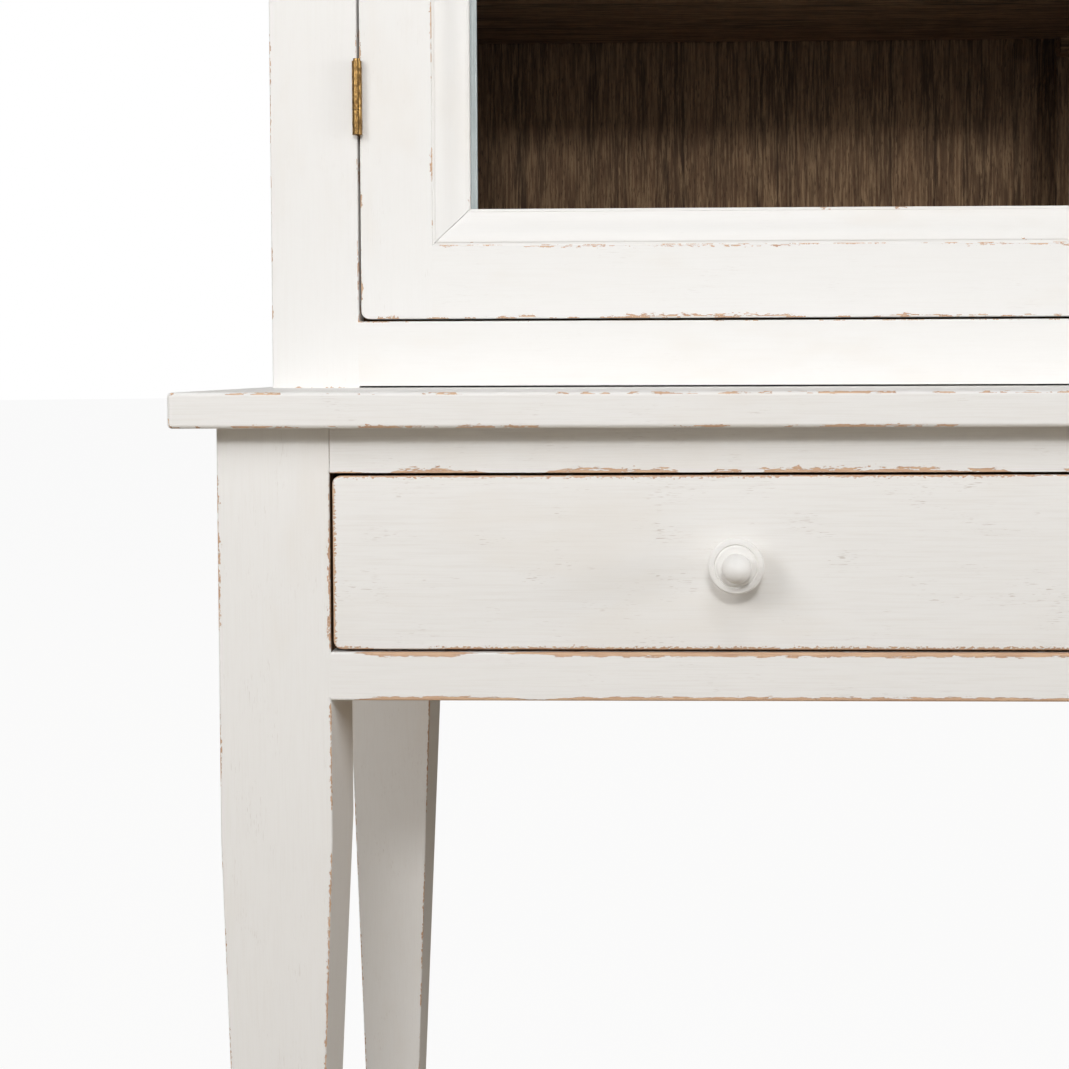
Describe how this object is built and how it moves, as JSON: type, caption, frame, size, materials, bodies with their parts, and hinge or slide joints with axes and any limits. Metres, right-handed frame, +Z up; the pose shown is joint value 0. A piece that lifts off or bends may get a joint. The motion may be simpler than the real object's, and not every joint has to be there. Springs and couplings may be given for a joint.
{
  "type": "china cabinet",
  "caption": "Painted china cabinet: a shallow hutch with glazed doors and shelves on a table-like stand with a wide drawer and tapered legs.",
  "frame": {"origin": "on the floor, under the middle of the cabinet's bounding box", "axes": "+X to the right seen from the front, +Y towards the back, +Z up; the doors and the drawer face -Y"},
  "size_m": [1.59, 0.567, 2.12],
  "materials": {
    "distressed_white_paint": "brushed off-white paint, worn to tan wood on the edges",
    "brown_stained_wood": "dark brown stained wood with vertical grain",
    "raw_wood": "plain unpainted wood",
    "aged_brass": "aged brass",
    "clear_glass": "clear float glass"
  },
  "bodies": {
    "cabinet": {"left_frame_hinge_leaves": "aged_brass", "left_hinge_pins": "aged_brass", "leg_front_left": "distressed_white_paint", "leg_back_left": "distressed_white_paint", "stand_apron_left": "distressed_white_paint", "drawer_runner_left": "raw_wood", "hutch_side_left": "distressed_white_paint", "frame_stile_left": "distressed_white_paint", "back_panel_left": "brown_stained_wood", "cornice_left": "distressed_white_paint", "right_frame_hinge_leaves": "aged_brass", "right_hinge_pins": "aged_brass", "leg_front_right": "distressed_white_paint", "leg_back_right": "distressed_white_paint", "stand_apron_right": "distressed_white_paint", "drawer_runner_right": "raw_wood", "hutch_side_right": "distressed_white_paint", "frame_stile_right": "distressed_white_paint", "back_panel_right": "brown_stained_wood", "cornice_right": "distressed_white_paint", "stand_top": "distressed_white_paint", "stand_rail_top": "distressed_white_paint", "stand_rail_bottom": "distressed_white_paint", "stand_apron_back": "distressed_white_paint", "frame_rail_bottom": "distressed_white_paint", "frame_rail_top": "distressed_white_paint", "cornice_front": "distressed_white_paint", "hutch_floor": "brown_stained_wood", "hutch_roof": "brown_stained_wood", "back_muntin": "brown_stained_wood", "shelf_low": "brown_stained_wood", "shelf_middle": "brown_stained_wood", "shelf_high": "brown_stained_wood", "shelf_cleats": "brown_stained_wood", "drawer_kicker": "raw_wood"},
    "drawer": {"drawer_side_left": "raw_wood", "drawer_knob_left": "distressed_white_paint", "drawer_side_right": "raw_wood", "drawer_knob_right": "distressed_white_paint", "drawer_front": "distressed_white_paint", "drawer_back": "raw_wood", "drawer_bottom": "raw_wood"},
    "left_door": {"door_left_hinge_stile": "distressed_white_paint", "door_left_meeting_stile": "distressed_white_paint", "door_left_rail_top": "distressed_white_paint", "door_left_rail_bottom": "distressed_white_paint", "door_left_moulding": "distressed_white_paint", "door_left_beads": "distressed_white_paint", "door_left_knob": "distressed_white_paint", "door_left_glass": "clear_glass", "left_door_hinge_leaves": "aged_brass"},
    "right_door": {"door_right_hinge_stile": "distressed_white_paint", "door_right_meeting_stile": "distressed_white_paint", "door_right_rail_top": "distressed_white_paint", "door_right_rail_bottom": "distressed_white_paint", "door_right_moulding": "distressed_white_paint", "door_right_beads": "distressed_white_paint", "door_right_knob": "distressed_white_paint", "door_right_glass": "clear_glass", "right_door_hinge_leaves": "aged_brass"}
  },
  "joints": [
    {"name": "left_door_hinge", "type": "hinge", "parent": "cabinet", "child": "left_door", "pos_m": [-0.677, -0.0608, 1.42975], "axis": [0, 0, -1], "range_deg": [0, 160]},
    {"name": "right_door_hinge", "type": "hinge", "parent": "cabinet", "child": "right_door", "pos_m": [0.677, -0.0608, 1.42975], "axis": [0, 0, 1], "range_deg": [0, 160]},
    {"name": "drawer_slide", "type": "slide", "parent": "cabinet", "child": "drawer", "axis": [0, -1, 0], "range_m": [0, 0.32]}
  ]
}
